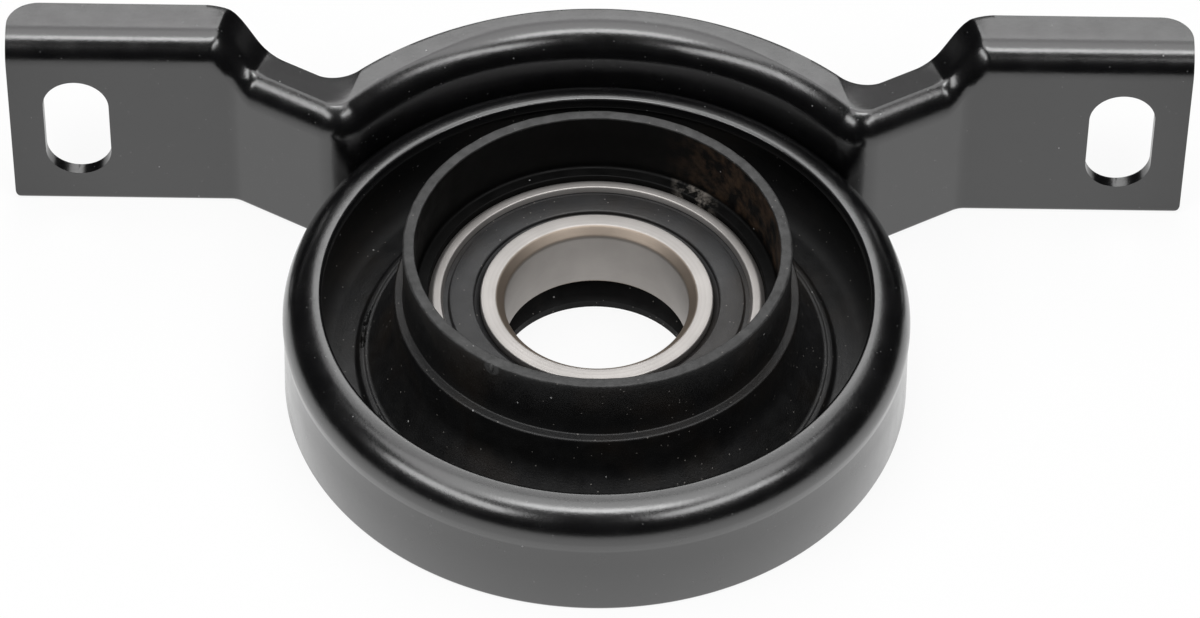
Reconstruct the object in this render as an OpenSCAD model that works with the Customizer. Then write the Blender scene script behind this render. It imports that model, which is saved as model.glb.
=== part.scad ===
// Driveshaft centre bearing: a sealed ball bearing in a rubber cushion, held in a drawn
// ring that is welded to a stamped mounting strap.
// The shaft turns about Z, the origin is the middle of the bearing, and the ears' mounting
// faces look towards minus Y. Sizes are in millimetres.

/* [Bearing] */
// Bore of the inner race, which takes the shaft
bore_d = 30; // [28:0.5:32]
// Outside diameter of the outer race
bearing_d = 55; // [52:0.5:58]
// Width of both races along the shaft
bearing_w = 13; // [12.5:0.5:16]
// Diameter of a ball
ball_d = 7.144; // [6.4:0.001:7.4]
// Number of balls
ball_count = 11; // [9:1:11]
// Running gap between a ball and its tracks
race_gap = 0.06; // [0.03:0.01:0.1]
// Rounding chamfer at the ends of the bore
bore_edge = 1.4; // [0.5:0.1:2]
// Sheet thickness of the ball cage
cage_sheet = 0.7; // [0.4:0.05:0.8]
// Gap between a ball and its cage pocket
pocket_gap = 0.15; // [0.08:0.01:0.2]

/* [Sleeve] */
// Sheet thickness of the stepped sleeve
sleeve_sheet = 1.5; // [1.2:0.1:2]
// Step from the bearing seat out to the collar's inside
collar_step = 2.15; // [1.9:0.05:3]
// Height of the collar's rim over the middle of the bearing
collar_top = 18.3; // [14:0.1:22]
// Thickness of the rubber skin on the collar
skin = 0.4; // [0.3:0.05:0.8]
// Hole in the dust lip at the rear
dust_hole_d = 32.4; // [30.5:0.1:36]

/* [Rubber cushion] */
// Wall of the rubber hub around the collar
hub_wall = 1.95; // [1.2:0.05:3]
// Height of the hub's ledge over the middle of the bearing
hub_top = 7.2; // [6:0.1:9]
// Depth of the trough's parting ridge below the middle of the bearing
ridge_depth = 6; // [4:0.1:7]
// Thickness of the rubber band against the ring
band_wall = 1.8; // [1:0.1:3]

/* [Ring housing] */
// Outside diameter of the ring
ring_d = 102.6; // [98:0.2:106]
// Sheet thickness of the ring
ring_sheet = 2.2; // [1.6:0.1:3]
// Height of the ring's front over the middle of the bearing
ring_front = 8.2; // [7:0.1:11]
// Radius of the ring's front shoulder
ring_shoulder = 5.7; // [4:0.1:6.4]
// Reach of the ring's lip inside its shoulder
lip_reach = 0.8; // [0.4:0.1:2.5]
// Depth of the rear edges below the middle of the bearing
base_depth = 12.6; // [12.6:0.1:16]

/* [Mounting strap] */
// Sheet thickness of the strap
strap_sheet = 2.2; // [1.8:0.1:2.2]
// Distance of the ears' mounting faces behind the shaft's axis
ear_y = 40.3; // [39:0.1:43]
// Distance of an ear's tip from the middle
ear_tip = 98.8; // [96:0.1:110]
// Height of the ears' top edge over the middle of the bearing
ear_top = 23.2; // [20:0.1:26]
// Height of the arch's top edge over the middle of the bearing
arch_top = 16; // [13:0.1:18]
// Outside radius of the turned edge's bend on the ears
edge_bend = 5.2; // [3.4:0.1:5.5]
// Outside radius of the turned edge's bend on the slants and the arch
arch_bend = 5.4; // [3.4:0.1:5.5]
// Width of the turned edge on the ears
ear_edge = 10.2; // [7:0.1:13]
// Width of the turned edge on the slants
slant_edge = 9.1; // [6.5:0.1:10]
// Droop of the turned edge's rim on the slants
slant_droop = 1.1; // [0:0.1:1.6]
// Width of the turned edge on the arch
arch_edge = 7.2; // [5.5:0.1:9]
// Angle between an ear and its slant
slant_angle = 30; // [24:0.5:36]
// Distance of the crease between ear and slant from the middle
crease_x = 61.3; // [60:0.1:64]
// Length of the ramp that leads from the ear's top edge down to the slant's
ramp_run = 7.8; // [7:0.1:9]
// Width of a bolt slot
slot_w = 11; // [9:0.1:13]
// Length of a bolt slot
slot_l = 21; // [16:0.1:24]
// Distance between the two slots
slot_spacing = 175.2; // [172:0.1:178]
// Height of the slots' middle
slot_z = 4; // [2:0.1:5]

/* [Hidden] */
$fn = 96;
pitch_r = (bore_d + bearing_d) / 4;
ball_r = ball_d / 2;
half_w = bearing_w / 2;
inner_r = pitch_r - 0.315 * ball_d;
shoulder_r = pitch_r + 0.329 * ball_d;
seat_r = bearing_d / 2;
outer_edge = 0.75;
groove_r = seat_r - 1.9;
mouth_r = seat_r - 2.5;
face_r = seat_r - 2.1;
seal_top = half_w - 0.3;
seal_bottom = half_w - 1.5;
groove_top = half_w - 1;
groove_bottom = half_w - 1.7;
seal_in_r = inner_r + 1;
seal_out_r = mouth_r - 0.9;
lip_gap = 0.08;
snap_gap = 0.05;
cage_in_r = inner_r + 0.6;
cage_out_r = shoulder_r - 0.7;
pocket_r = ball_r + pocket_gap;
rivet_r = 0.6;
rivet_gap = 0.03;
head_r = 1.05;
head_h = 0.4;
collar_r = seat_r + collar_step;
collar_out_r = collar_r + sleeve_sheet;
tube_r = seat_r + sleeve_sheet;
ledge_z = half_w + 0.5;
tube_end = -base_depth + 0.6;
case_top = -half_w - 0.5;
case_sheet = 1;
case_hole_r = seat_r - 5;
dust_end = -base_depth + 0.1;
dust_wall = 1.4;
hub_r = collar_out_r + hub_wall;
ring_r = ring_d / 2;
ring_in_r = ring_r - ring_sheet;
shoulder_z = ring_front - ring_shoulder;
shoulder_x = ring_r - ring_shoulder;
lip_r = shoulder_x - lip_reach;
band_r = ring_in_r - band_wall;
ridge_r = hub_r + 4.6;
trough_round = (band_r - ridge_r) / 2.4;
floor_z = -ridge_depth - 1;
web_end = -base_depth + 1.6;
weld_gap = 0.1;
arch_r = ring_r + weld_gap;
crease_round = 4;
nose_round = 6;
valley_round = 6;
ear_round = 5.2;
foot_round = 1.8;
bend_steps = 6;
edge_steps = 3;
arch_steps = 26;
normal = 90 + slant_angle;
corner = [crease_x, ear_y];
inward = [-cos(slant_angle), -sin(slant_angle)];
crease_c = corner + crease_round * [tan(slant_angle / 2), -1];
slant_start = crease_c + crease_round * spoke(normal);
nose_c = tangent_centre(nose_round, arch_r + nose_round);
edge_c = tangent_centre(slant_edge + valley_round, arch_r + arch_edge + valley_round);
nose_angle = atan2(nose_c[1], nose_c[0]);
edge_angle = atan2(edge_c[1], edge_c[0]);
arch_angle = edge_angle + 5;
slant_end = nose_c - nose_round * spoke(normal);
edge_end = edge_c - valley_round * spoke(normal);
ramp_way = spoke(slant_angle / 2);
ramp_reach = (ramp_run / 2 + 0.5) / cos(slant_angle / 2);
ramp_x = crease_x + ramp_reach;
ramp_end = corner + ramp_reach * inward;
ramp_out = ramp_x - crease_c[0];
ramp_in = ramp_reach - crease_round * tan(slant_angle / 2);
crease_l = crease_round * slant_angle * PI / 180;
ramp_l = ramp_out + crease_l + ramp_in;

function ball_name(i) = str("ball_", i < 10 ? "0" : "", i);

// Unit vector at an angle in plan
function spoke(a) = [cos(a), sin(a)];

// Plan point at a given distance from the axis, on the line that runs beside the slant
function tangent_centre(aside, reach) =
  let (q = corner + aside * spoke(normal), b = q * inward)
  q + inward * (-b - sqrt(b * b - q * q + reach * reach));

// Plan point between two others
function between(p, q, u) = p + (q - p) * u;

// Smooth step from 0 to 1
function ease(u) = u * u * (3 - 2 * u);

// Share of the ramp that lies below a plan point
function ramp_share(q) = max(0, min(1, (q - corner) * ramp_way / ramp_run + 0.5));

// Height of the strap's top over a plan point
function top_at(q) = arch_top + (ear_top - arch_top) * ease(ramp_share(q));

// Upright depth of the sheet at a plan point, which grows where the ramp is steep
function depth_at(q) =
  let (u = ramp_share(q), slope = (ear_top - arch_top) * 6 * u * (1 - u) / ramp_run)
  strap_sheet * sqrt(1 + slope * slope);

// Plan point put at a height
function raised(q, z) = [q[0], q[1], z];

// Cross-section of the strap at a plan point of its face, with the turned edge led to a rim point
function station(p, a, rim, droop, bend) =
  let (
    behind = spoke(a),
    root = p + bend * behind,
    inner = bend - strap_sheet,
    bends = [for (i = [0 : bend_steps]) 90 * i / bend_steps],
    shares = [for (i = [1 : edge_steps]) i / edge_steps],
    over = [for (b = bends) let (q = p + bend * (1 - cos(b)) * behind)
      raised(q, top_at(q) - bend * (1 - sin(b)))],
    above = [for (u = shares) let (q = between(root, rim, u)) raised(q, top_at(q) - droop * u)],
    below = [for (u = shares) let (q = between(root, rim, u)) raised(q, top_at(q) - droop * u - depth_at(q))],
    under = [for (b = bends) let (q = p + (bend - inner * cos(b)) * behind)
      raised(q, top_at(q) - bend + (bend - depth_at(q)) * sin(b))]
  )
  concat(
    [raised(p, -base_depth)], over, above,
    reversed(below), reversed(under), [raised(p + strap_sheet * behind, -base_depth)]
  );

function reversed(list) = [for (i = [len(list) - 1 : -1 : 0]) list[i]];

// A station between ear and slant, where the turned edge changes its bend, width and droop
function ramp_station(p, a, d) =
  let (u = ease(d / ramp_l), width = ear_edge + (slant_edge - ear_edge) * u)
  station(p, a, p + width * spoke(a), slant_droop * u, edge_bend + (arch_bend - edge_bend) * u);

// The stations of one half, from the end of the straight ear to the start of the arch
function half_stations() = concat(
  [for (i = [0 : 5]) let (d = ramp_out * i / 6)
    ramp_station([ramp_x - d, ear_y], 90, d)],
  [for (i = [0 : 5]) let (a = 90 + slant_angle * i / 6)
    ramp_station(crease_c + crease_round * spoke(a), a, ramp_out + crease_l * i / 6)],
  [for (i = [0 : 5]) let (d = ramp_in * i / 6)
    ramp_station(slant_start + d * inward, normal, ramp_out + crease_l + d)],
  [for (i = [0 : 2])
    station(between(ramp_end, slant_end, i / 3), normal,
      between(ramp_end + slant_edge * spoke(normal), edge_end, i / 3), slant_droop, arch_bend)],
  [for (i = [0 : 9])
    let (a = normal + (nose_angle - normal) * i / 10, b = normal + (edge_angle - normal) * i / 10)
    let (p = nose_c - nose_round * spoke(a), rim = edge_c - valley_round * spoke(b))
    station(p, a, rim, slant_droop * (1 - i / 10), arch_bend)],
  [for (i = [0 : 5])
    let (a = nose_angle + (arch_angle - nose_angle) * i / 6, b = edge_angle + (arch_angle - edge_angle) * i / 6)
    station(arch_r * spoke(a), a, (arch_r + arch_edge) * spoke(b), 0, arch_bend)]
);

// The stations of the whole strap, from the right ear over the arch to the left ear
function strap_stations() =
  let (half = half_stations(), n = len(half) - 1)
  concat(
    half,
    [for (i = [0 : arch_steps])
      let (a = arch_angle + (180 - 2 * arch_angle) * i / arch_steps)
      station(arch_r * spoke(a), a, (arch_r + arch_edge) * spoke(a), 0, arch_bend)],
    [for (i = [n : -1 : 0]) [for (q = half[i]) [-q[0], q[1], q[2]]]]
  );

// Skin over a row of stations, closed at both ends
module loft(rows) {
  m = len(rows[0]);
  last = (len(rows) - 1) * m;
  sides = [for (i = [0 : len(rows) - 2]) for (j = [0 : m - 1])
    let (a = i * m + j, b = i * m + (j + 1) % m)
    each [[b, a, a + m], [b, a + m, b + m]]];
  ends = [for (j = [0 : m / 2 - 2])
    each [
      [j, j + 1, m - 2 - j, m - 1 - j],
      [last + m - 1 - j, last + m - 2 - j, last + j + 1, last + j]
    ]];
  polyhedron(points = [for (r = rows) each r], faces = concat(sides, ends));
}

// Ring turned from a section polygon given as radius and height
module turned(points) {
  rotate_extrude() polygon(points);
}

// Upright tube
module tube(r_in, r_out, z0, z1) {
  translate([0, 0, z0]) difference() {
    cylinder(r = r_out, h = z1 - z0);
    translate([0, 0, -1]) cylinder(r = r_in, h = z1 - z0 + 2);
  }
}

// Puts its child at each ball's place, or between the balls for an offset of a half
module around(offset) {
  for (i = [1 : ball_count])
    rotate([0, 0, 360 * (i - 1 + offset) / ball_count]) translate([pitch_r, 0, 0]) children();
}

// Straight end of an ear with its turned edge
module ear() {
  section = ramp_station([ramp_x, ear_y], 90, 0);
  translate([ramp_x, 0, 0]) rotate([90, 0, 90])
    linear_extrude(ear_tip - ramp_x) polygon([for (q = section) [q[1], q[2]]]);
}

// Slot through an ear, and the roundings of its free corners
module ear_cuts() {
  translate([slot_spacing / 2, ear_y - 1, slot_z]) rotate([-90, 0, 0]) {
    for (s = [-1, 1]) translate([0, s * (slot_l - slot_w) / 2, 0])
      cylinder(d = slot_w, h = strap_sheet + 2);
    translate([-slot_w / 2, -(slot_l - slot_w) / 2, 0]) cube([slot_w, slot_l - slot_w, strap_sheet + 2]);
  }
  translate([ear_tip - ear_round, ear_y + ear_edge - ear_round, ear_top - edge_bend]) difference() {
    cube([ear_round + 1, ear_round + 1, edge_bend + 1]);
    translate([0, 0, -1]) cylinder(r = ear_round, h = edge_bend + 3);
  }
  translate([ear_tip - foot_round, ear_y - 1, -base_depth + foot_round]) rotate([-90, 0, 0]) difference() {
    cube([foot_round + 1, foot_round + 1, strap_sheet + 2]);
    translate([0, 0, -1]) cylinder(r = foot_round, h = strap_sheet + 4);
  }
}

// Stamped strap with the ears, the slants and the arch behind the ring
module mounting_strap() {
  color([0.11, 0.11, 0.12]) {
    loft(strap_stations());
    for (s = [0, 1]) mirror([s, 0, 0]) difference() {
      ear();
      ear_cuts();
    }
  }
}

// Drawn ring with a round front shoulder that turns in to a lip
module ring_housing() {
  color([0.12, 0.12, 0.13]) rotate_extrude() difference() {
    union() {
      translate([lip_r, -base_depth]) square([ring_r - lip_r, base_depth + shoulder_z]);
      translate([shoulder_x, shoulder_z]) intersection() {
        circle(r = ring_shoulder);
        square(ring_shoulder);
      }
      translate([lip_r, shoulder_z]) square([shoulder_x - lip_r, ring_shoulder]);
    }
    translate([lip_r - 1, -base_depth - 1]) square([ring_in_r - lip_r + 1, base_depth + 1 + shoulder_z]);
    translate([shoulder_x, shoulder_z]) circle(r = ring_shoulder - ring_sheet);
    translate([lip_r - 1, shoulder_z - 1])
      square([shoulder_x - lip_r + 1, ring_shoulder - ring_sheet + 1]);
  }
}

// Moulded cushion: skin on the collar, hub, flared flank, trough and the band at the ring
module rubber_cushion() {
  flank = [for (i = [0 : 8]) let (u = i / 8)
    [hub_r + (ridge_r - hub_r) * (1 - cos(90 * u)), -(ridge_depth) * u + 1 - u]];
  rise = [for (i = [0 : 6]) let (a = 15 * i)
    [band_r - trough_round * (1 - sin(a)), floor_z + trough_round * (1 - cos(a))]];
  color([0.07, 0.07, 0.07]) turned(concat(
    [[collar_out_r, collar_top - skin], [collar_r, collar_top - skin], [collar_r, collar_top]],
    [[collar_out_r + skin, collar_top], [collar_out_r + skin, hub_top], [hub_r - 0.3, hub_top], [hub_r, hub_top - 0.3]],
    flank,
    [[ridge_r + 0.3, -ridge_depth + 0.2], [ridge_r + 0.6, -ridge_depth - 0.4]],
    rise,
    [[band_r, shoulder_z - 2], [band_r + 0.6, shoulder_z], [ring_in_r, shoulder_z]],
    [[ring_in_r, web_end + 0.4], [ring_in_r - 2, web_end], [tube_r + 1, web_end], [tube_r, web_end + 0.4]],
    [[tube_r, ledge_z - sleeve_sheet], [collar_out_r, ledge_z - sleeve_sheet]]
  ));
}

// Stepped tube: the bearing's seat below and the open collar above
module inner_sleeve() {
  color([0.2, 0.19, 0.18]) turned([
    [seat_r, tube_end], [tube_r, tube_end], [tube_r, ledge_z - sleeve_sheet],
    [collar_out_r, ledge_z - sleeve_sheet], [collar_out_r, collar_top - skin], [collar_r, collar_top - skin],
    [collar_r, ledge_z], [seat_r, ledge_z]
  ]);
}

// Outer half of a race section, reflected to make the other half
module both_sides() {
  children();
  mirror([0, 1]) children();
}

// Outer race with its ball track and a groove at each face for the seal
module outer_race() {
  color([0.7, 0.7, 0.72]) rotate_extrude() difference() {
    polygon([
      [shoulder_r, -groove_bottom], [groove_r, -groove_bottom], [groove_r, -groove_top], [mouth_r, -groove_top],
      [face_r, -half_w], [seat_r - outer_edge, -half_w], [seat_r, -half_w + outer_edge],
      [seat_r, half_w - outer_edge], [seat_r - outer_edge, half_w], [face_r, half_w],
      [mouth_r, groove_top], [groove_r, groove_top], [groove_r, groove_bottom], [shoulder_r, groove_bottom]
    ]);
    translate([pitch_r, 0]) circle(r = ball_r + race_gap);
  }
}

// Inner race with its ball track and the shaft's bore
module inner_race() {
  color([0.78, 0.78, 0.79]) rotate_extrude() difference() {
    translate([bore_d / 2, -half_w]) square([inner_r - bore_d / 2, bearing_w]);
    translate([pitch_r, 0]) circle(r = ball_r + race_gap);
    for (s = [-1, 1]) translate([bore_d / 2, s * half_w]) rotate([0, 0, 45])
      square(bore_edge * sqrt(2), center = true);
  }
}

// Seal of the front face: a rim that snaps in the race's groove, a flat face and a running lip
module seal() {
  turned([
    [inner_r + lip_gap, seal_bottom - 0.2], [seal_in_r + 0.4, seal_bottom], [seal_out_r, seal_bottom],
    [seal_out_r, groove_bottom + snap_gap], [groove_r - snap_gap, groove_bottom + snap_gap],
    [groove_r - snap_gap, groove_top - snap_gap], [seal_out_r + 0.2, groove_top - snap_gap],
    [seal_out_r, groove_top + 0.2], [seal_out_r, seal_top - 0.1], [seal_out_r - 0.1, seal_top],
    [seal_in_r + 0.1, seal_top], [seal_in_r, seal_top - 0.1], [seal_in_r, seal_bottom + 0.5],
    [inner_r + lip_gap, seal_bottom + 0.2]
  ]);
}

// Seal that shows inside the collar
module front_seal() {
  color([0.12, 0.12, 0.12]) seal();
}

// Seal of the rear face
module rear_seal() {
  color([0.12, 0.12, 0.12]) mirror([0, 0, 1]) seal();
}

// Half of the ribbon cage: a flat band with a pocket over each ball
module cage_half() {
  difference() {
    intersection() {
      tube(cage_in_r, cage_out_r, 0, pocket_r + cage_sheet + 1);
      union() {
        cylinder(r = cage_out_r + 1, h = cage_sheet);
        around(0) sphere(r = pocket_r + cage_sheet);
      }
    }
    around(0) sphere(r = pocket_r);
    around(0.5) translate([0, 0, -1]) cylinder(r = rivet_r + rivet_gap, h = cage_sheet + 2, $fn = 32);
  }
}

// Cage half towards the collar
module cage_front_half() {
  color([0.72, 0.7, 0.64]) cage_half();
}

// Cage half towards the rear
module cage_rear_half() {
  color([0.72, 0.7, 0.64]) mirror([0, 0, 1]) cage_half();
}

// Rivets between the balls
module cage_rivets() {
  color([0.66, 0.65, 0.62]) around(0.5) {
    translate([0, 0, -cage_sheet]) cylinder(r = rivet_r, h = 2 * cage_sheet, $fn = 32);
    for (s = [0, 1]) mirror([0, 0, s]) translate([0, 0, cage_sheet]) cylinder(r = head_r, h = head_h, $fn = 32);
  }
}

// One ball of the ring of balls, counted from plus X
module ball(i) {
  color([0.86, 0.86, 0.87]) rotate([0, 0, 360 * (i - 1) / ball_count]) translate([pitch_r, 0, 0]) sphere(r = ball_r);
}

// Pressed ring in the rear end of the sleeve
module dust_lip_case() {
  color([0.3, 0.3, 0.31]) turned([
    [case_hole_r, case_top - case_sheet], [case_hole_r, case_top], [seat_r, case_top], [seat_r, tube_end + 0.5],
    [seat_r - case_sheet, tube_end + 0.5], [seat_r - case_sheet, case_top - case_sheet]
  ]);
}

// Rubber lip that closes on the shaft at the rear
module rear_dust_lip() {
  r = dust_hole_d / 2;
  top = case_top - case_sheet;
  color([0.08, 0.08, 0.08]) turned([
    [r, dust_end], [r + 0.6, dust_end], [case_hole_r + 2, top - dust_wall], [seat_r - case_sheet, top - dust_wall],
    [seat_r - case_sheet, top], [case_hole_r - 1, top], [r, dust_end + dust_wall]
  ]);
}

mounting_strap();
ring_housing();
rubber_cushion();
inner_sleeve();
outer_race();
inner_race();
front_seal();
rear_seal();
cage_front_half();
cage_rear_half();
cage_rivets();
rear_dust_lip();
dust_lip_case();
for (i = [1 : ball_count]) ball(i);
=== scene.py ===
"""Looks of a driveshaft centre bearing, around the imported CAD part.

Outlines are written in millimetres, in the part's own frame, and become metres when a mesh is made.
"""

import math

import bmesh
import bpy
from mathutils import Matrix, Vector


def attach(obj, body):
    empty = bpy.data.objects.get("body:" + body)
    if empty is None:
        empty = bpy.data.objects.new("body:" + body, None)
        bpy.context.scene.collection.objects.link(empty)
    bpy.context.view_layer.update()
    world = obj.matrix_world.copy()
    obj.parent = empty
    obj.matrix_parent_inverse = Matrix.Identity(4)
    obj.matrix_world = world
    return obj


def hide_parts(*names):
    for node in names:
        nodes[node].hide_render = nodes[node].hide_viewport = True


MM = 0.001

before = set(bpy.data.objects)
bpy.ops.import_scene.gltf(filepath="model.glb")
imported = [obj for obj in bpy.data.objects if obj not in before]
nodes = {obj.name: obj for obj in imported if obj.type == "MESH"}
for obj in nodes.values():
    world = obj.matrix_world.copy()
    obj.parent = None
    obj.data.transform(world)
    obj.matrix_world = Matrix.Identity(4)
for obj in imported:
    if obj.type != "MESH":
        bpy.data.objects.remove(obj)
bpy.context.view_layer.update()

# Sizes of the bearing, in millimetres
BORE_R = 15.0
BORE_CHAMFER = 1.4
INNER_R = 19.0
SHOULDER_R = 23.6
PITCH_R = 21.25
TRACK_R = 3.632
HALF_W = 6.5
SEAT_R = 27.5
SEAT_CHAMFER = 0.75
MOUTH_R = SEAT_R - 2.1
LAND_R = SEAT_R - 2.5
GROOVE_R = SEAT_R - 1.9
GROOVE_TOP = HALF_W - 1.0
GROOVE_FOOT = HALF_W - 1.7
SEAL_R = SEAT_R - 3.4
SEAL_TOP = HALF_W - 0.3
SEAL_FOOT = HALF_W - 1.5
SEAL_LIP = 1.0
SEAL_LIP_T = 0.2
SEAL_GAP = 0.08
SEAL_PLAY = 0.05

# Sizes of the sleeve and the cushion
COLLAR_R = 29.65
COLLAR_OUT_R = 31.15
COLLAR_TOP = 18.3
SKIN = 0.4
LEDGE_Z = 7.0
LEDGE_T = 1.5
TUBE_R = 29.0
TUBE_END = -12.0
HUB_R = 33.1
HUB_TOP = 7.2
FLANK_TOP = 1.0
RIDGE_R = 37.7
RIDGE_Z = -6.0
TROUGH_DEPTH = 1.0
TROUGH_ROUND = 4.0
BAND_T = 1.8
BAND_LIP = 2.0
BAND_FLARE = 0.6
WEB_LIFT = 1.6
BASE_Z = -12.6

# Sizes of the ring; its waist has points of (inwards, below the shoulder, rounding)
RING_R = 51.3
RING_IN_R = 49.1
RING_FRONT = 8.2
SHOULDER = 5.7
LIP_R = 44.8
LIP_RISE = 0.2
TOP_TURN = 81.0
WAIST = ((0.15, 5.0, 3.0), (0.2, 1.5, 1.5))

# Sizes of the strap
SHEET = 2.2
EAR_Y = 40.3
EAR_TIP = 98.8
EAR_TOP = 23.2
EAR_EDGE = 10.2
EAR_ROUND = 5.2
FOOT_ROUND = 1.8
SLOT_W = 11.0
SLOT_L = 21.0
SLOT_X = 87.6
SLOT_Z = 4.0
BEND = 5.2
ARCH_BEND = 5.4
ARCH_TOP = 16.0
ARCH_R = 51.4
ARCH_EDGE = 7.2
SLANT = 30.0
SLANT_EDGE = 9.1
SLANT_DROOP = 1.1
CREASE_X = 61.3
CREASE_ROUND = 4.0
NOSE_ROUND = 6.0
VALLEY_ROUND = 6.0
VALLEY_TURN = 5.0
RAMP_RUN = 7.8
RAMP_SPARE = 0.5
FOLD_TURN = 58.0
FOLD_R = 0.8
FOOT_ROLL = 0.9
EDGE_BEVEL = 0.35
SHARP = 50.0


# Meshes


def new_object(name, verts, faces):
    """Smooth mesh object from points in millimetres, with its faces turned outwards."""
    mesh = bpy.data.meshes.new(name)
    mesh.from_pydata([Vector(v) * MM for v in verts], [], faces)
    work = bmesh.new()
    work.from_mesh(mesh)
    bmesh.ops.recalc_face_normals(work, faces=work.faces)
    work.to_mesh(mesh)
    work.free()
    mesh.shade_smooth()
    obj = bpy.data.objects.new(name, mesh)
    bpy.context.scene.collection.objects.link(obj)
    return obj


def arc(cx, cy, r, a0, a1, steps):
    """Points of a circular arc, with its angles in degrees."""
    angles = [math.radians(a0 + (a1 - a0) * i / steps) for i in range(steps + 1)]
    return [(cx + r * math.cos(a), cy + r * math.sin(a)) for a in angles]


def rounded(corners, steps=4):
    """Closed outline from corners (x, y, radius), each rounded by its radius."""
    nearly_straight = math.radians(89)
    longest_cut = 0.45
    out = []
    for i, (x, y, r) in enumerate(corners):
        p = Vector((x, y))
        a = Vector(corners[i - 1][:2]) - p
        b = Vector(corners[(i + 1) % len(corners)][:2]) - p
        half = a.angle(b) / 2
        if r <= 0 or half > nearly_straight:
            out.append((x, y))
            continue
        cut = min(r / math.tan(half), longest_cut * min(a.length, b.length))
        a.normalize()
        b.normalize()
        centre = p + (a + b).normalized() * (cut / math.cos(half))
        start, end = p + a * cut - centre, p + b * cut - centre
        a0 = math.atan2(start.y, start.x)
        sweep = (math.atan2(end.y, end.x) - a0 + math.pi) % (2 * math.pi) - math.pi
        out += arc(centre.x, centre.y, start.length, math.degrees(a0), math.degrees(a0 + sweep), steps)
    return out


def split(outline, longest):
    """The outline with its long edges divided."""
    out = []
    for i, p in enumerate(outline):
        q = outline[(i + 1) % len(outline)]
        n = max(1, math.ceil(math.dist(p, q) / longest))
        out += [(p[0] + (q[0] - p[0]) * k / n, p[1] + (q[1] - p[1]) * k / n) for k in range(n)]
    return out


def lathe(name, outline, around=192, shape=None):
    """Ring turned about Z from a closed outline of (radius, height). shape may move each point."""
    verts, faces, m = [], [], len(outline)
    for k in range(around):
        a = 2 * math.pi * k / around
        for r, z in outline:
            if shape:
                r, z = shape(r, z, a)
            verts.append((r * math.cos(a), r * math.sin(a), z))
    for k in range(around):
        this, after = k * m, (k + 1) % around * m
        for j in range(m):
            n = (j + 1) % m
            faces.append((this + j, after + j, after + n, this + n))
    return new_object(name, verts, faces)


def prism(outline, upright, depth, side):
    """Points and faces of an outline between two depths, along Y where upright and else along Z."""
    n = len(outline)
    verts = [(side * x, d, y) if upright else (side * x, y, d) for d in depth for x, y in outline]
    faces = [tuple(range(n)), tuple(range(2 * n - 1, n - 1, -1))]
    faces += [(i, (i + 1) % n, n + (i + 1) % n, n + i) for i in range(n)]
    return verts, faces


def dress(piece, node, material, body="housing"):
    """Sets a piece in the place of a CAD node, with its material."""
    piece.data.materials.clear()
    piece.data.materials.append(material)
    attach(piece, body)
    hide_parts(node)
    return piece


# Mounting strap


def spoke(a):
    """Unit vector in the plan, at an angle in degrees."""
    return Vector((math.cos(math.radians(a)), math.sin(math.radians(a))))


def ease(u):
    """0 to 1 with a soft start and end."""
    return u * u * (3 - 2 * u)


def shares(n):
    """n even shares of a way, from its start and without its end."""
    return [i / n for i in range(n)]


# Places along the right half of the strap: ear, ramp, crease, slant, nose, arch
NORMAL = 90 + SLANT
CORNER = Vector((CREASE_X, EAR_Y))
INWARD = -spoke(SLANT)
CREASE_C = CORNER + CREASE_ROUND * Vector((math.tan(math.radians(SLANT / 2)), -1))
SLANT_START = CREASE_C + CREASE_ROUND * spoke(NORMAL)


def tangent_centre(aside, reach):
    """Plan point at a distance from the axis, on the line that runs beside the slant."""
    q = CORNER + aside * spoke(NORMAL)
    b = q.dot(INWARD)
    return q + INWARD * (-b - math.sqrt(b * b - q.dot(q) + reach * reach))


NOSE_C = tangent_centre(NOSE_ROUND, ARCH_R + NOSE_ROUND)
EDGE_C = tangent_centre(SLANT_EDGE + VALLEY_ROUND, ARCH_R + ARCH_EDGE + VALLEY_ROUND)
NOSE_A = math.degrees(math.atan2(NOSE_C.y, NOSE_C.x))
EDGE_A = math.degrees(math.atan2(EDGE_C.y, EDGE_C.x))
ARCH_A = EDGE_A + VALLEY_TURN
SLANT_END = NOSE_C - NOSE_ROUND * spoke(NORMAL)
EDGE_END = EDGE_C - VALLEY_ROUND * spoke(NORMAL)
RAMP_WAY = spoke(SLANT / 2)
RAMP_REACH = (RAMP_RUN / 2 + RAMP_SPARE) / math.cos(math.radians(SLANT / 2))
RAMP_X = CREASE_X + RAMP_REACH
RAMP_END = CORNER + RAMP_REACH * INWARD
RAMP_OUT = RAMP_X - CREASE_C.x
RAMP_IN = RAMP_REACH - CREASE_ROUND * math.tan(math.radians(SLANT / 2))
CREASE_L = CREASE_ROUND * math.radians(SLANT)
RAMP_L = RAMP_OUT + CREASE_L + RAMP_IN

# Numbers of points on a section, and of sections along each stretch
ROLL_STEPS = 6
BEND_STEPS = 18
EDGE_STEPS = 6
EAR_ROWS = 12
RAMP_OUT_ROWS = 16
CREASE_ROWS = 20
RAMP_IN_ROWS = 20
SLANT_ROWS = 10
NOSE_ROWS = 28
VALLEY_ROWS = 14
ARCH_ROWS = 90
FOLD_ROWS = 28
SLOT_STEPS = 40
TIP_STEPS = 16
FOOT_STEPS = 10


def top_at(q):
    """Height of the strap's top over a plan point, and the upright depth of its sheet there."""
    u = max(0.0, min(1.0, (q - CORNER).dot(RAMP_WAY) / RAMP_RUN + 0.5))
    fall = EAR_TOP - ARCH_TOP
    slope = fall * 6 * u * (1 - u) / RAMP_RUN
    return ARCH_TOP + fall * ease(u), SHEET * math.sqrt(1 + slope * slope)


def bend_turns():
    """Angles of the bend's points, from the upright face to the turned edge."""
    return [math.radians(90 * i / BEND_STEPS) for i in range(BEND_STEPS + 1)]


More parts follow.
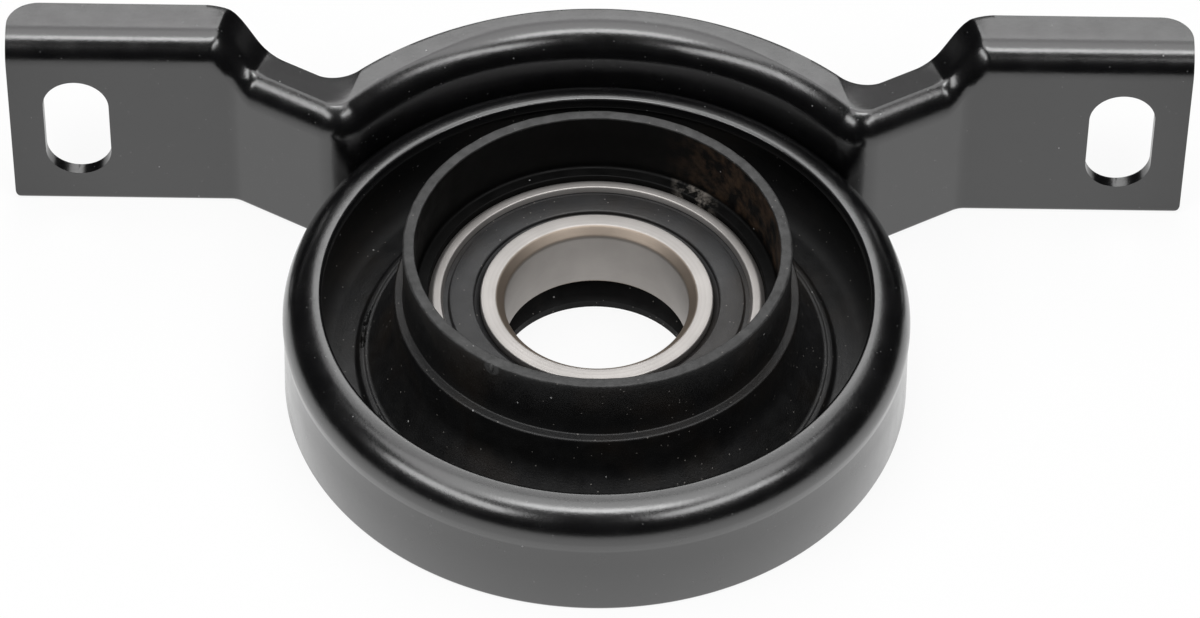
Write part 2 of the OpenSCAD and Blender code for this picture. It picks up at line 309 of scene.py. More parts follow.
def bend_outline(bend, crest):
    """Points (behind, up) of the bend's outside.

    crest 0 leaves the bend round, and crest 1 draws its top together into a fold.
    """
    turn = math.radians(FOLD_TURN)
    wide = (bend - FOLD_R * (1 - math.sin(turn))) / math.sin(turn)
    out = []
    for t in bend_turns():
        low, high = min(t, turn), max(t, turn)
        v = wide * (1 - math.cos(low)) + FOLD_R * (math.cos(turn) - math.cos(high))
        h = wide * math.sin(low) + FOLD_R * (math.sin(high) - math.sin(turn))
        round_v, round_h = bend * (1 - math.cos(t)), bend * math.sin(t)
        out.append((round_v + (v - round_v) * crest, round_h + (h - round_h) * crest))
    return out


def station(p, a, rim, droop=0.0, bend=ARCH_BEND, crest=0.0):
    """Section of the strap at plan point p of its face, turned to angle a, its edge led to rim."""
    behind = spoke(a)
    inner = bend - SHEET
    outline = bend_outline(bend, crest)
    roll = arc(FOOT_ROLL, BASE_Z + FOOT_ROLL, FOOT_ROLL, 270, 180, ROLL_STEPS)
    front = [(*(p + v * behind), z) for v, z in roll]
    back = [(*(p + SHEET * behind), BASE_Z)]
    for v, h in outline:
        q = p + v * behind
        front.append((*q, top_at(q)[0] - bend + h))
    for t in bend_turns():
        q = p + (bend - inner * math.cos(t)) * behind
        top, depth = top_at(q)
        back.append((*q, top - bend + (bend - depth) * math.sin(t)))
    front_root = p + outline[-1][0] * behind
    back_root = p + bend * behind
    for i in range(1, EDGE_STEPS + 1):
        u = i / EDGE_STEPS
        q = front_root.lerp(rim, u)
        front.append((*q, top_at(q)[0] - droop * u))
        q = back_root.lerp(rim, u)
        top, depth = top_at(q)
        back.append((*q, top - droop * u - depth))
    return front + back[::-1]


def ramp_station(p, a, d):
    """Section between ear and slant, where the turned edge changes its bend, width and droop."""
    u = ease(d / RAMP_L)
    rim = p + (EAR_EDGE + (SLANT_EDGE - EAR_EDGE) * u) * spoke(a)
    return station(p, a, rim, SLANT_DROOP * u, BEND + (ARCH_BEND - BEND) * u, u)


def strap_rows():
    """Sections of the whole strap, from the right ear's tip over the arch to the left one's."""
    half = []
    for u in shares(EAR_ROWS):
        p = Vector((EAR_TIP + (RAMP_X - EAR_TIP) * u, EAR_Y))
        half.append(station(p, 90, p + EAR_EDGE * spoke(90), 0, BEND))
    for u in shares(RAMP_OUT_ROWS):
        d = RAMP_OUT * u
        half.append(ramp_station(Vector((RAMP_X - d, EAR_Y)), 90, d))
    for u in shares(CREASE_ROWS):
        a = 90 + SLANT * u
        half.append(ramp_station(CREASE_C + CREASE_ROUND * spoke(a), a, RAMP_OUT + CREASE_L * u))
    for u in shares(RAMP_IN_ROWS):
        d = RAMP_IN * u
        half.append(ramp_station(SLANT_START + d * INWARD, NORMAL, RAMP_OUT + CREASE_L + d))
    for u in shares(SLANT_ROWS):
        rim = (RAMP_END + SLANT_EDGE * spoke(NORMAL)).lerp(EDGE_END, u)
        half.append(station(RAMP_END.lerp(SLANT_END, u), NORMAL, rim, SLANT_DROOP, crest=1.0))
    for u in shares(NOSE_ROWS):
        a = NORMAL + (NOSE_A - NORMAL) * u
        rim = EDGE_C - VALLEY_ROUND * spoke(NORMAL + (EDGE_A - NORMAL) * u)
        droop = SLANT_DROOP * (1 - u)
        half.append(station(NOSE_C - NOSE_ROUND * spoke(a), a, rim, droop, crest=1.0))
    for u in shares(VALLEY_ROWS):
        a = NOSE_A + (ARCH_A - NOSE_A) * u
        rim = (ARCH_R + ARCH_EDGE) * spoke(EDGE_A + (ARCH_A - EDGE_A) * u)
        half.append(station(ARCH_R * spoke(a), a, rim, crest=1.0))
    arch = []
    for i in range(ARCH_ROWS + 1):
        a = ARCH_A + (180 - 2 * ARCH_A) * i / ARCH_ROWS
        crest = ease(max(0.0, 1 - min(i, ARCH_ROWS - i) / FOLD_ROWS))
        arch.append(station(ARCH_R * spoke(a), a, (ARCH_R + ARCH_EDGE) * spoke(a), crest=crest))
    return half + arch + [[(-x, y, z) for x, y, z in row] for row in reversed(half)]


def strap_cutter():
    """Slots of both ears and the roundings of their free corners, as one solid to take away."""
    spare = 1.0
    run = (SLOT_L - SLOT_W) / 2
    slot = arc(SLOT_X, SLOT_Z + run, SLOT_W / 2, 0, 180, SLOT_STEPS)
    slot += arc(SLOT_X, SLOT_Z - run, SLOT_W / 2, 180, 360, SLOT_STEPS)
    past = EAR_TIP + spare
    rim = EAR_Y + EAR_EDGE
    tip = arc(EAR_TIP - EAR_ROUND, rim - EAR_ROUND, EAR_ROUND, 0, 90, TIP_STEPS)
    tip += [(EAR_TIP - EAR_ROUND, rim + spare), (past, rim + spare), (past, rim - EAR_ROUND)]
    below = BASE_Z - spare
    foot = arc(EAR_TIP - FOOT_ROUND, BASE_Z + FOOT_ROUND, FOOT_ROUND, -90, 0, FOOT_STEPS)
    foot += [(past, BASE_Z + FOOT_ROUND), (past, below), (EAR_TIP - FOOT_ROUND, below)]
    through_face = (EAR_Y - spare, EAR_Y + SHEET + spare)
    through_edge = (EAR_TOP - BEND, EAR_TOP + spare)
    verts, faces = [], []
    for side in (1, -1):
        for outline, upright, depth in (
            (slot, True, through_face),
            (foot, True, through_face),
            (tip, False, through_edge),
        ):
            more, sides = prism(outline, upright, depth, side)
            faces += [tuple(len(verts) + i for i in f) for f in sides]
            verts += more
    return new_object("strap_cutter", verts, faces)


def make_strap():
    rows = strap_rows()
    m = len(rows[0])
    faces = [tuple(range(m)), tuple(range(len(rows) * m - 1, (len(rows) - 1) * m - 1, -1))]
    for i in range(len(rows) - 1):
        for j in range(m):
            n = (j + 1) % m
            faces.append((i * m + j, i * m + n, (i + 1) * m + n, (i + 1) * m + j))
    strap = new_object("mounting_strap_skin", [q for row in rows for q in row], faces)
    cutter = strap_cutter()
    cut = strap.modifiers.new("cut", "BOOLEAN")
    cut.operation = "DIFFERENCE"
    cut.solver = "EXACT"
    cut.object = cutter
    graph = bpy.context.evaluated_depsgraph_get()
    mesh = bpy.data.meshes.new_from_object(strap.evaluated_get(graph))
    strap.modifiers.clear()
    strap.data = mesh
    bpy.data.objects.remove(cutter)
    mesh.shade_smooth()
    edge = strap.modifiers.new("edges", "BEVEL")
    edge.width = EDGE_BEVEL * MM
    edge.segments = 3
    edge.limit_method = "ANGLE"
    edge.angle_limit = math.radians(SHARP)
    strap.modifiers.new("normals", "WEIGHTED_NORMAL")
    return strap


# Turned pieces


def make_ring():
    sx, sz = RING_R - SHOULDER, RING_FRONT - SHOULDER - LIP_RISE
    under = RING_FRONT - SHEET
    wall = rounded([
        (RING_IN_R, sz, 0), (RING_IN_R, BASE_Z, 0.4), (RING_R, BASE_Z, 0.6),
        *[(RING_R - inwards, sz - below, edge) for inwards, below, edge in WAIST],
        (RING_R, sz, 0),
    ])
    crown = arc(sx, sz, SHOULDER, 0, TOP_TURN, steps=24)
    lip = rounded([
        (*crown[-1], 0), (LIP_R, RING_FRONT, 0.9), (LIP_R, under, 0.7), (sx, under - LIP_RISE, 0),
    ])
    outline = wall[1:-1] + crown + lip[1:-1] + arc(sx, sz, SHOULDER - SHEET, 90, 0, steps=14)
    return lathe("ring_housing_skin", outline, around=288)


def waver(a, seed):
    """Uneven value between about -1 and 1 round the axis, a sum of waves of (number, size)."""
    waves = ((5, 0.3), (13, 0.25), (29, 0.25), (61, 0.2))
    shift = 1.7 * seed
    return sum(size * math.sin(n * a + shift * (k + 1)) for k, (n, size) in enumerate(waves))


def flash(start, end, radius, foot, height, seed):
    """Points and faces of a torn fin of rubber that stands on a circle between two angles."""
    root = -0.3
    steps = max(8, int((end - start) * 5))
    verts, faces = [], []
    for i in range(steps + 1):
        u = i / steps
        a = math.radians(start + (end - start) * u)
        lump = max(0.0, 0.55 + 0.75 * waver(4 * a, seed)) * math.sin(math.pi * u) ** 0.4
        lean = 0.35 * waver(3 * a, seed + 2)
        half = 0.35 + 0.2 * lump
        shoulder = (-0.6 * half + lean * lump, 0.75 * height * lump)
        for r, z in ((-half, root), shoulder, (lean, height * lump), (half, root)):
            verts.append(((radius + r) * math.cos(a), (radius + r) * math.sin(a), foot + z))
    for i in range(steps):
        k = 4 * i
        faces += [(k + j, k + 4 + j, k + 4 + (j + 1) % 4, k + (j + 1) % 4) for j in range(4)]
    faces += [(0, 1, 2, 3), (4 * steps + 3, 4 * steps + 2, 4 * steps + 1, 4 * steps)]
    return verts, faces


def drop(centre, size):
    """Points and faces of a small rounded bead."""
    rows, around = 8, 12
    verts, faces = [], []
    for i in range(rows + 1):
        b = math.pi * (i / rows - 0.5)
        for j in range(around):
            a = 2 * math.pi * j / around
            way = (math.cos(b) * math.cos(a), math.cos(b) * math.sin(a), math.sin(b))
            verts.append(tuple(c + h * w for c, h, w in zip(centre, size, way)))
    for i in range(rows):
        this, after = around * i, around * (i + 1)
        for j in range(around):
            n = (j + 1) % around
            faces.append((this + j, this + n, after + n, after + j))
    return verts, faces


def add_to(piece, parts):
    """Joins small parts, given as points and faces in millimetres, into a piece's mesh."""
    for verts, faces in parts:
        extra = new_object("extra", verts, faces)
        work = bmesh.new()
        work.from_mesh(piece.data)
        work.from_mesh(extra.data)
        work.to_mesh(piece.data)
        work.free()
        bpy.data.objects.remove(extra)
    return piece


# Trim of the cushion: a run of rubber on the collar, the ridge's bead as (out, up, rounding), flash, wear
BEAD_A = 238.3
BEAD_DEPTH = 1.05
BEAD_SIZE = (0.42, 0.42, 0.95)
BEAD = (*(spoke(BEAD_A) * (COLLAR_OUT_R + SKIN)), COLLAR_TOP - BEAD_DEPTH)
RIDGE_BEAD = ((0.5, 0.35, 0.4), (1.3, 0.2, 0.5), (1.8, -0.8, 0.6))
FLASH_FOOT = RIDGE_Z + 0.2
WEAR_REACH = 1.0
WEAR_ASIDE = 0.05
WEAR_DOWN = 0.09


def worn(r, z, a):
    """The cushion's point, moved by the uneven wear of the collar's rim."""
    near_rim = max(0.0, min(1.0, (z - COLLAR_TOP + WEAR_REACH) / WEAR_REACH))
    share = near_rim if r < HUB_R - WEAR_REACH else 0.0
    return r + WEAR_ASIDE * share * waver(a, 5), z - WEAR_DOWN * share * (1 + waver(a, 1))


def make_cushion():
    flank = [
        (HUB_R + (RIDGE_R - HUB_R) * (1 - math.cos(math.pi / 2 * u)), RIDGE_Z * u + FLANK_TOP * (1 - u), 0)
        for u in (i / 16 for i in range(17))
    ]
    band = RING_IN_R - BAND_T
    trough_z = RIDGE_Z - TROUGH_DEPTH + TROUGH_ROUND
    trough = arc(band - TROUGH_ROUND, trough_z, TROUGH_ROUND, 270, 360, steps=12)
    web = BASE_Z + WEB_LIFT
    under = LEDGE_Z - LEDGE_T
    rim = COLLAR_TOP - SKIN
    outside = COLLAR_OUT_R + SKIN
    sz = RING_FRONT - SHOULDER
    corners = [
        (COLLAR_OUT_R, rim, 0), (COLLAR_R, rim, 0), (COLLAR_R, COLLAR_TOP, 0.3),
        (outside, COLLAR_TOP, 0.35), (outside, HUB_TOP, 0.25), (HUB_R, HUB_TOP, 0.35),
        *flank,
        *[(RIDGE_R + out, RIDGE_Z + up, edge) for out, up, edge in RIDGE_BEAD],
        *[(x, z, 0) for x, z in trough],
        (band, sz - BAND_LIP, 0.8), (band + BAND_FLARE, sz, 0.3), (RING_IN_R, sz, 0),
        (RING_IN_R, web, 0.4), (TUBE_R, web, 0.4), (TUBE_R, under, 0), (COLLAR_OUT_R, under, 0),
    ]
    outline = split(rounded(corners), longest=1.2)
    piece = lathe("rubber_cushion_skin", outline, around=384, shape=worn)
    return add_to(piece, [
        flash(start=166, end=181, radius=RIDGE_R + 0.7, foot=FLASH_FOOT, height=1.7, seed=1),
        flash(start=202, end=210, radius=RIDGE_R + 0.6, foot=FLASH_FOOT, height=0.4, seed=4),
        drop(BEAD, BEAD_SIZE),
    ])


def make_sleeve():
    under = LEDGE_Z - LEDGE_T
    rim = COLLAR_TOP - SKIN
    corners = [
        (SEAT_R, TUBE_END, 0.3), (TUBE_R, TUBE_END, 0.3), (TUBE_R, under, 0.4),
        (COLLAR_OUT_R, under, 0.4), (COLLAR_OUT_R, rim, 0.1), (COLLAR_R, rim, 0.1),
        (COLLAR_R, LEDGE_Z, 0.5), (SEAT_R, LEDGE_Z, 0.25),
    ]
    return lathe("inner_sleeve_skin", rounded(corners, steps=5), around=256)


TRACK_STEPS = 16


def race(name, side, track, steps):
    """Race from the corners of its upper side and the arc of its track; steps is for each rounding."""
    below = [(r, -z, e) for r, z, e in reversed(side)]
    return lathe(name, rounded(side + [(r, z, 0) for r, z in track] + below, steps))


def make_outer_race():
    side = [
        (SEAT_R, HALF_W - SEAT_CHAMFER, 0.6), (SEAT_R - SEAT_CHAMFER, HALF_W, 0.6),
        (MOUTH_R, HALF_W, 0.25), (LAND_R, GROOVE_TOP, 0.1), (GROOVE_R, GROOVE_TOP, 0),
        (GROOVE_R, GROOVE_FOOT, 0), (SHOULDER_R, GROOVE_FOOT, 0.1),
    ]
    half = math.degrees(math.acos((SHOULDER_R - PITCH_R) / TRACK_R))
    return race("outer_race_skin", side, arc(PITCH_R, 0, TRACK_R, half, -half, TRACK_STEPS), 4)


def make_inner_race():
    side = [
        (BORE_R, HALF_W - BORE_CHAMFER, 1.2), (BORE_R + BORE_CHAMFER, HALF_W, 0.9), (INNER_R, HALF_W, 0.25),
    ]
    half = math.degrees(math.acos((PITCH_R - INNER_R) / TRACK_R))
    track = arc(PITCH_R, 0, TRACK_R, 180 - half, 180 + half, TRACK_STEPS)
    return race("inner_race_skin", side, track, 8)


def make_front_seal():
    inside = INNER_R + SEAL_GAP
    shelf = GROOVE_FOOT + SEAL_PLAY
    bead_r, bead_top = GROOVE_R - SEAL_PLAY, GROOVE_TOP - SEAL_PLAY
    lip_r = INNER_R + SEAL_LIP
    corners = [
        (inside, SEAL_FOOT - SEAL_LIP_T, 0), (lip_r + 0.4, SEAL_FOOT, 0),
        (SEAL_R, SEAL_FOOT, 0), (SEAL_R, shelf, 0),
        (bead_r, shelf, 0), (bead_r, bead_top, 0.1), (SEAL_R + 0.2, bead_top, 0.1),
        (SEAL_R, SEAL_TOP - 0.5, 0.1), (SEAL_R, SEAL_TOP, 0.35), (lip_r, SEAL_TOP, 0.35),
        (lip_r, SEAL_FOOT + 0.5, 0.1), (inside, SEAL_FOOT + SEAL_LIP_T, 0),
    ]
    return lathe("front_seal_skin", rounded(corners))


# Materials


def put(tree, kind, inputs, **props):
    """New shader node; inputs maps a socket's name or number to a value or to another node's output."""
    made = tree.nodes.new("ShaderNode" + kind)
    for key, value in props.items():
        setattr(made, key, value)
    for key, value in inputs.items():
        if isinstance(value, bpy.types.NodeSocket):
            tree.links.new(value, made.inputs[key])
        else:
            made.inputs[key].default_value = value
    return made


def grey(level):
    return (level, level, level, 1)


def ramp(tree, factor, stops):
    """Colour ramp with stops of (position, grey or colour)."""
    made = put(tree, "ValToRGB", {"Fac": factor})
    elements = made.color_ramp.elements
    while len(elements) < len(stops):
        elements.new(0.5)
    for element, (at, value) in zip(elements, stops):
        element.position = at
        element.color = grey(value) if isinstance(value, float) else (*value, 1)
    return made.outputs["Color"]


def spread(tree, noise, low, high):
    """Values from low to high over the stretch that a noise mostly fills."""
    return ramp(tree, noise, [(0.3, low), (0.7, high)])


def shades(tree, noise, tone, low, high):
    """Darker and lighter shades of a tone, with low and high as (place in the noise, share of the tone)."""
    return ramp(tree, noise, [(at, tuple(share * c for c in tone)) for at, share in (low, high)])


def fresh(name):
    """New material with its tree, its Principled shader and the object's own coordinates."""
    made = bpy.data.materials.new(name)
    made.use_nodes = True
    tree = made.node_tree
    coord = tree.nodes.new("ShaderNodeTexCoord").outputs["Object"]
    return made, tree, tree.nodes["Principled BSDF"], coord


def grain(tree, coord, scale, detail=4.0, rough=0.5):
    """Noise value with about that many grains to the metre."""
    noise = {"Vector": coord, "Scale": scale, "Detail": detail, "Roughness": rough}
    return put(tree, "TexNoise", noise).outputs["Fac"]


def maths(tree, operation, a, b):
    return put(tree, "Math", {0: a, 1: b}, operation=operation).outputs[0]


def both(tree, a, b):
    return maths(tree, "MULTIPLY", a, b)


def either(tree, a, b):
    return maths(tree, "MAXIMUM", a, b)


def mapped(tree, value, start, end, low=0.0, high=1.0):
    """Value that runs from low to high while another runs from start to end."""
    place = {"Value": value, "From Min": start, "From Max": end, "To Min": low, "To Max": high}
    return put(tree, "MapRange", place).outputs["Result"]


def specks(tree, coord, scale, size, share):
    """1 on scattered round specks, 0 elsewhere. share is the part of the cells that has one."""
    cells = put(tree, "TexVoronoi", {"Vector": coord, "Scale": scale})
    near = maths(tree, "LESS_THAN", cells.outputs["Distance"], size)
    tone = put(tree, "SeparateColor", {"Color": cells.outputs["Color"]}).outputs["Red"]
    return both(tree, near, maths(tree, "LESS_THAN", tone, share))


def mix(tree, factor, low, high):
    """Colour between two, by a factor."""
    return put(tree, "Mix", {0: factor, 6: low, 7: high}, data_type="RGBA").outputs[2]


def bump(tree, height, strength, distance):
    return put(tree, "Bump", {"Height": height, "Strength": strength, "Distance": distance}).outputs["Normal"]


def above(tree, coord, axis, low, high):
    """0 below a place on an axis of the part, 1 over another, in millimetres."""
    parts = put(tree, "SeparateXYZ", {"Vector": coord})
    return mapped(tree, parts.outputs[axis], low * MM, high * MM)


def radius_of(tree, coord):
    """Distance from the shaft's axis."""
    parts = put(tree, "SeparateXYZ", {"Vector": coord})
    flat = put(tree, "CombineXYZ", {"X": parts.outputs["X"], "Y": parts.outputs["Y"]})
    return put(tree, "VectorMath", {0: flat.outputs[0]}, operation="LENGTH").outputs["Value"]


def turned_coord(tree, coord):
    """Coordinates of radius and height, so noise on them makes turning marks."""
    parts = put(tree, "SeparateXYZ", {"Vector": coord})
    return put(tree, "CombineXYZ", {"X": radius_of(tree, coord), "Y": parts.outputs["Z"]}).outputs[0]


def paint(name, tone, low_rough, high_rough, coat):
    """Satin black paint on sheet steel, with an orange-peel skin and light dust."""
    made, tree, shader, coord = fresh(name)
    body = shades(tree, grain(tree, coord, scale=90, detail=5), tone, low=(0.3, 0.75), high=(0.7, 1.3))
    body = mix(tree, specks(tree, coord, scale=620, size=0.08, share=0.02), body, grey(0.3))
    body = mix(tree, specks(tree, coord, scale=1700, size=0.2, share=0.03), body, grey(0.08))
    tree.links.new(body, shader.inputs["Base Color"])
    dull = spread(tree, grain(tree, coord, scale=260, detail=6), low_rough, high_rough)
    tree.links.new(dull, shader.inputs["Roughness"])
    shader.inputs["Specular IOR Level"].default_value = 1.0
    shader.inputs["Coat Weight"].default_value = coat
    shader.inputs["Coat Roughness"].default_value = 0.2
    skin = bump(tree, grain(tree, coord, scale=1500, detail=3), strength=0.45, distance=0.04 * MM)
    tree.links.new(skin, shader.inputs["Normal"])
    return made


BROWN_RUBBER = (0.016, 0.011, 0.007, 1)
PALE_DUST = (0.16, 0.15, 0.14, 1)
RUN_GREY = grey(0.045)
RUN_REACH = (1.5, 1.2)
SCUFF_REACH = (0.5, 0.25)
SCUFF_GREYS = (0.009, 0.048)
WALL_ROUGH = grey(0.95)
WALL_START = 43.0
WALL_END = 46.0


def rubber(name, tone, low_rough, high_rough, gloss, rim=None):
    """Moulded black rubber with a fine matt skin and dust in its pores.

    With rim, the height of the collar's top, it is scuffed grey there, pale at the run, and dull at the ring.
    """
    made, tree, shader, coord = fresh(name)
    cloud = grain(tree, coord, scale=160, detail=6, rough=0.6)
    body = shades(tree, cloud, tone, low=(0.3, 0.6), high=(0.75, 1.5))
    warm = ramp(tree, grain(tree, coord, scale=70, detail=3), [(0.5, 0.0), (0.72, 0.6)])
    body = mix(tree, warm, body, BROWN_RUBBER)
    dull = spread(tree, grain(tree, coord, scale=400, detail=5), low_rough, high_rough)
    if rim:
        scuffs = spread(tree, grain(tree, coord, scale=700, detail=5, rough=0.7), *SCUFF_GREYS)
        body = mix(tree, above(tree, coord, "Z", *(rim - d for d in SCUFF_REACH)), body, scuffs)
        bead = [c * MM for c in BEAD]
        reach = put(tree, "VectorMath", {0: coord, 1: bead}, operation="DISTANCE").outputs["Value"]
        body = mix(tree, mapped(tree, reach, *(r * MM for r in RUN_REACH)), body, RUN_GREY)
        wall = mapped(tree, radius_of(tree, coord), WALL_START * MM, WALL_END * MM)
        dull = mix(tree, wall, dull, WALL_ROUGH)
    body = mix(tree, specks(tree, coord, scale=560, size=0.09, share=0.06), body, grey(0.4))
    body = mix(tree, specks(tree, coord, scale=1800, size=0.22, share=0.05), body, PALE_DUST)
    tree.links.new(body, shader.inputs["Base Color"])
    tree.links.new(dull, shader.inputs["Roughness"])
    shader.inputs["Specular IOR Level"].default_value = gloss
    pores = grain(tree, coord, scale=2400, detail=5, rough=0.65)
    tree.links.new(bump(tree, pores, strength=0.6, distance=0.08 * MM), shader.inputs["Normal"])
    return made


TUBE_DARK = (0.0006, 0.0006, 0.0006)
TUBE_LIGHT = (0.0016, 0.0015, 0.0014)
TUBE_STAIN = (0.045, 0.027, 0.016, 1)
LEDGE_SCUFF = (0.2, 0.18, 0.16, 1)


def tube_steel(name):
    """Dull dark steel of the sleeve, with a brown stain on one side of its wall and a scuff on its ledge."""
    made, tree, shader, coord = fresh(name)
    cloud = grain(tree, coord, scale=150, detail=6, rough=0.6)
    body = ramp(tree, cloud, [(0.3, TUBE_DARK), (0.75, TUBE_LIGHT)])
    blotch = ramp(tree, grain(tree, coord, scale=330, detail=6, rough=0.65), [(0.42, 0.0), (0.62, 1.0)])
    right = above(tree, coord, "X", low=11, high=19)
    wall = above(tree, coord, "Z", low=7.2, high=8.5)
    body = mix(tree, both(tree, blotch, both(tree, right, wall)), body, TUBE_STAIN)
    smear = ramp(tree, grain(tree, coord, scale=500, detail=5, rough=0.7), [(0.45, 0.0), (0.65, 1.0)])
    from_left = above(tree, coord, "X", low=12, high=14.5)
    from_right = above(tree, coord, "X", low=20, high=17)
    ledge = above(tree, coord, "Z", low=7.4, high=7.15)
    far = above(tree, coord, "Y", low=10, high=20)
    place = both(tree, both(tree, both(tree, from_left, from_right), ledge), far)
    body = mix(tree, both(tree, smear, place), body, LEDGE_SCUFF)
    body = mix(tree, specks(tree, coord, scale=700, size=0.1, share=0.05), body, grey(0.3))
    tree.links.new(body, shader.inputs["Base Color"])
    dull = spread(tree, grain(tree, coord, scale=300, detail=5), 0.4, 0.6)
    tree.links.new(dull, shader.inputs["Roughness"])
    shader.inputs["Specular IOR Level"].default_value = 0.15
    skin = bump(tree, grain(tree, coord, scale=1600, detail=5), strength=0.4, distance=0.06 * MM)
    tree.links.new(skin, shader.inputs["Normal"])
    return made


BORE_TINT = (0.74, 0.73, 0.72)
CHAMFER_TINT = (0.66, 0.58, 0.5)
NO_TINT = (1.0, 1.0, 1.0)
TINT_START = BORE_R + 0.02
TINT_END = BORE_R + 1.6


def steel(name, tone, low_rough, high_rough):
    """Ground bearing steel with fine marks that run round the axis, and a browner edge at the bore."""
    made, tree, shader, coord = fresh(name)
    marks = grain(tree, turned_coord(tree, coord), scale=9000, detail=2)
    body = shades(tree, grain(tree, coord, scale=130), tone, low=(0.3, 0.86), high=(0.7, 1.0))
    chamfer = mapped(tree, radius_of(tree, coord), TINT_START * MM, TINT_END * MM)
    tint = ramp(tree, chamfer, [(0.0, BORE_TINT), (0.12, CHAMFER_TINT), (0.85, CHAMFER_TINT), (1.0, NO_TINT)])
    body = put(tree, "Mix", {0: 1.0, 6: body, 7: tint}, data_type="RGBA", blend_type="MULTIPLY").outputs[2]
    tree.links.new(body, shader.inputs["Base Color"])
    tree.links.new(spread(tree, marks, low_rough, high_rough), shader.inputs["Roughness"])
    shader.inputs["Metallic"].default_value = 1.0
    tree.links.new(bump(tree, marks, strength=0.3, distance=0.01 * MM), shader.inputs["Normal"])
    return made


BLACK_PAINT = (0.0025, 0.0025, 0.0028)
CUSHION_BLACK = (0.004, 0.004, 0.0043)
LIP_BLACK = (0.002, 0.002, 0.0022)
SEAL_BLACK = (0.018, 0.018, 0.019)
RACE_STEEL = (0.58, 0.555, 0.535)
CAGE_STEEL = (0.6, 0.56, 0.5)
BALL_STEEL = (0.75, 0.75, 0.75)

strap_paint = paint("strap_paint", BLACK_PAINT, low_rough=0.19, high_rough=0.27, coat=0.45)
ring_paint = paint("ring_paint", BLACK_PAINT, low_rough=0.2, high_rough=0.28, coat=0.8)
cushion_rubber = rubber(
    "cushion_rubber", CUSHION_BLACK, low_rough=0.42, high_rough=0.55, gloss=0.6, rim=COLLAR_TOP
)
lip_rubber = rubber("lip_rubber", LIP_BLACK, low_rough=0.55, high_rough=0.7, gloss=0.2)
seal_rubber = rubber("seal_rubber", SEAL_BLACK, low_rough=0.4, high_rough=0.5, gloss=0.6)
sleeve_steel = tube_steel("sleeve_steel")
race_steel = steel("race_steel", RACE_STEEL, low_rough=0.48, high_rough=0.62)
cage_steel = steel("cage_steel", CAGE_STEEL, low_rough=0.3, high_rough=0.45)
ball_steel = steel("ball_steel", BALL_STEEL, low_rough=0.05, high_rough=0.1)

dress(make_strap(), "mounting_strap", strap_paint)
dress(make_ring(), "ring_housing", ring_paint)
dress(make_cushion(), "rubber_cushion", cushion_rubber)
dress(make_sleeve(), "inner_sleeve", sleeve_steel)
dress(make_outer_race(), "outer_race", race_steel)
dress(make_inner_race(), "inner_race", race_steel, "inner_ring")
dress(make_front_seal(), "front_seal", seal_rubber)

# Nodes that keep their CAD solid
KEPT = {
    "rear_seal": seal_rubber,
    "cage_front_half": cage_steel,
    "cage_rear_half": cage_steel,
    "cage_rivets": cage_steel,
    "rear_dust_lip": lip_rubber,
    "dust_lip_case": sleeve_steel,
}
for name, obj in nodes.items():
    finish = ball_steel if name.startswith("ball_") else KEPT.get(name)
    if finish:
        obj.data.materials.clear()
        obj.data.materials.append(finish)


# Floor, light and camera

CAMERA_DISTANCE = 0.9826
CAMERA_ELEVATION = 45.81
CAMERA_AZIMUTH = -0.1
CAMERA_ROLL = 0.82
CAMERA_SHIFT = (0.003, 0.0124)
FLOOR_R = 240.0
FLOOR_TONE = 0.86
FLOOR_SHARE = 0.9
FLOOR_GLOW = 0.88
GLOW_START = 90.0
GLOW_END = 220.0
ROOM_FILL = 0.012
DIFFUSE_FILL = 0.05


def make_floor():
    """Pale floor that takes the shadow; it is white to the camera and a fading glow to reflections."""
    rim = [(x, y, BASE_Z) for x, y in arc(0, 0, FLOOR_R, 0, 360, steps=128)[:-1]]
    floor = new_object("floor", rim, [tuple(range(len(rim)))])
    made = bpy.data.materials.new("floor")
    made.use_nodes = True
    tree = made.node_tree
    tree.nodes.clear()
    path = tree.nodes.new("ShaderNodeLightPath").outputs
    seen = either(tree, path["Is Camera Ray"], path["Is Glossy Ray"])
    seen = either(tree, seen, path["Is Transmission Ray"])
    soft = put(tree, "BsdfDiffuse", {"Color": grey(FLOOR_TONE)}).outputs[0]
    coord = tree.nodes.new("ShaderNodeTexCoord").outputs["Object"]
    reach = put(tree, "VectorMath", {0: coord}, operation="LENGTH").outputs["Value"]
    glow = mapped(tree, reach, GLOW_START * MM, GLOW_END * MM, FLOOR_GLOW, 0.0)
    level = either(tree, glow, path["Is Camera Ray"])
    white = put(tree, "Emission", {"Color": grey(1), "Strength": level}).outputs[0]
    surface = put(tree, "MixShader", {0: both(tree, seen, FLOOR_SHARE), 1: soft, 2: white}).outputs[0]
    put(tree, "OutputMaterial", {"Surface": surface})
    floor.data.materials.append(made)


def softbox(name, towards, distance, size, radiance):
    """Rectangular area lamp that looks at the part from a direction; radiance is how bright its face is."""
    lamp = bpy.data.lights.new(name, "AREA")
    lamp.shape = "RECTANGLE"
    lamp.size, lamp.size_y = size
    lamp.energy = radiance * math.pi * size[0] * size[1]
    obj = bpy.data.objects.new(name, lamp)
    way = Vector(towards).normalized()
    obj.location = way * distance
    obj.rotation_euler = way.to_track_quat("Z", "Y").to_euler()
    bpy.context.scene.collection.objects.link(obj)


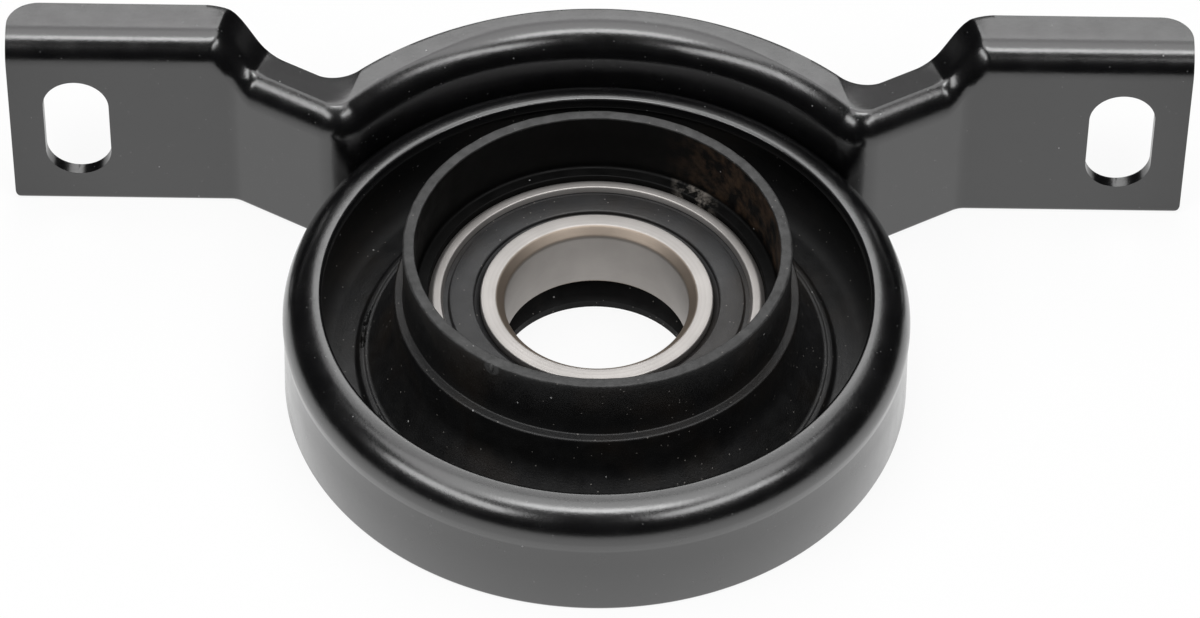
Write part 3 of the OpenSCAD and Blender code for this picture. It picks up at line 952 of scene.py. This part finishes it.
def make_world():
    """White to the camera, a dark room with some fill to everything else."""
    world = bpy.data.worlds.new("studio")
    bpy.context.scene.world = world
    world.use_nodes = True
    tree = world.node_tree
    tree.nodes.clear()
    path = tree.nodes.new("ShaderNodeLightPath").outputs
    seen = either(tree, path["Is Camera Ray"], path["Is Transmission Ray"])
    fill = mapped(tree, path["Is Diffuse Ray"], 0.0, 1.0, ROOM_FILL, DIFFUSE_FILL)
    room = put(tree, "Background", {"Color": grey(1), "Strength": fill}).outputs[0]
    white = put(tree, "Background", {"Color": grey(1), "Strength": 1.0}).outputs[0]
    surface = put(tree, "MixShader", {0: seen, 1: room, 2: white}).outputs[0]
    put(tree, "OutputWorld", {"Surface": surface})


def make_camera():
    data = bpy.data.cameras.new("camera")
    data.lens = 180
    data.sensor_width = 36
    data.shift_x, data.shift_y = CAMERA_SHIFT
    data.clip_start = 0.01
    cam = bpy.data.objects.new("camera", data)
    az, el = math.radians(CAMERA_AZIMUTH), math.radians(CAMERA_ELEVATION)
    back = Vector((math.sin(az) * math.cos(el), -math.cos(az) * math.cos(el), math.sin(el)))
    turn = back.to_track_quat("Z", "Y").to_matrix() @ Matrix.Rotation(math.radians(CAMERA_ROLL), 3, "Z")
    cam.matrix_world = Matrix.Translation(back * CAMERA_DISTANCE) @ turn.to_4x4()
    bpy.context.scene.collection.objects.link(cam)
    bpy.context.scene.camera = cam


make_floor()
make_world()
make_camera()
softbox("low_box", towards=(0, 0.91, 0.41), distance=0.8, size=(0.6, 0.22), radiance=0.4)
softbox("back_box", towards=(0, 0.7, 0.71), distance=0.8, size=(0.5, 0.25), radiance=2.4)
softbox("mid_box", towards=(0, 0.47, 0.88), distance=0.8, size=(0.7, 0.25), radiance=1.4)
softbox("top_box", towards=(0, -0.01, 1), distance=1.6, size=(2.2, 1.1), radiance=1.95)
softbox("key_box", towards=(0, -0.235, 0.972), distance=1.65, size=(1.0, 0.36), radiance=4.9)
softbox("left_box", towards=(-0.6, -0.46, 0.66), distance=0.8, size=(0.55, 0.2), radiance=4.6)
softbox("right_box", towards=(0.52, -0.48, 0.71), distance=0.8, size=(0.5, 0.18), radiance=4.6)

bpy.context.scene.view_settings.view_transform = "Standard"
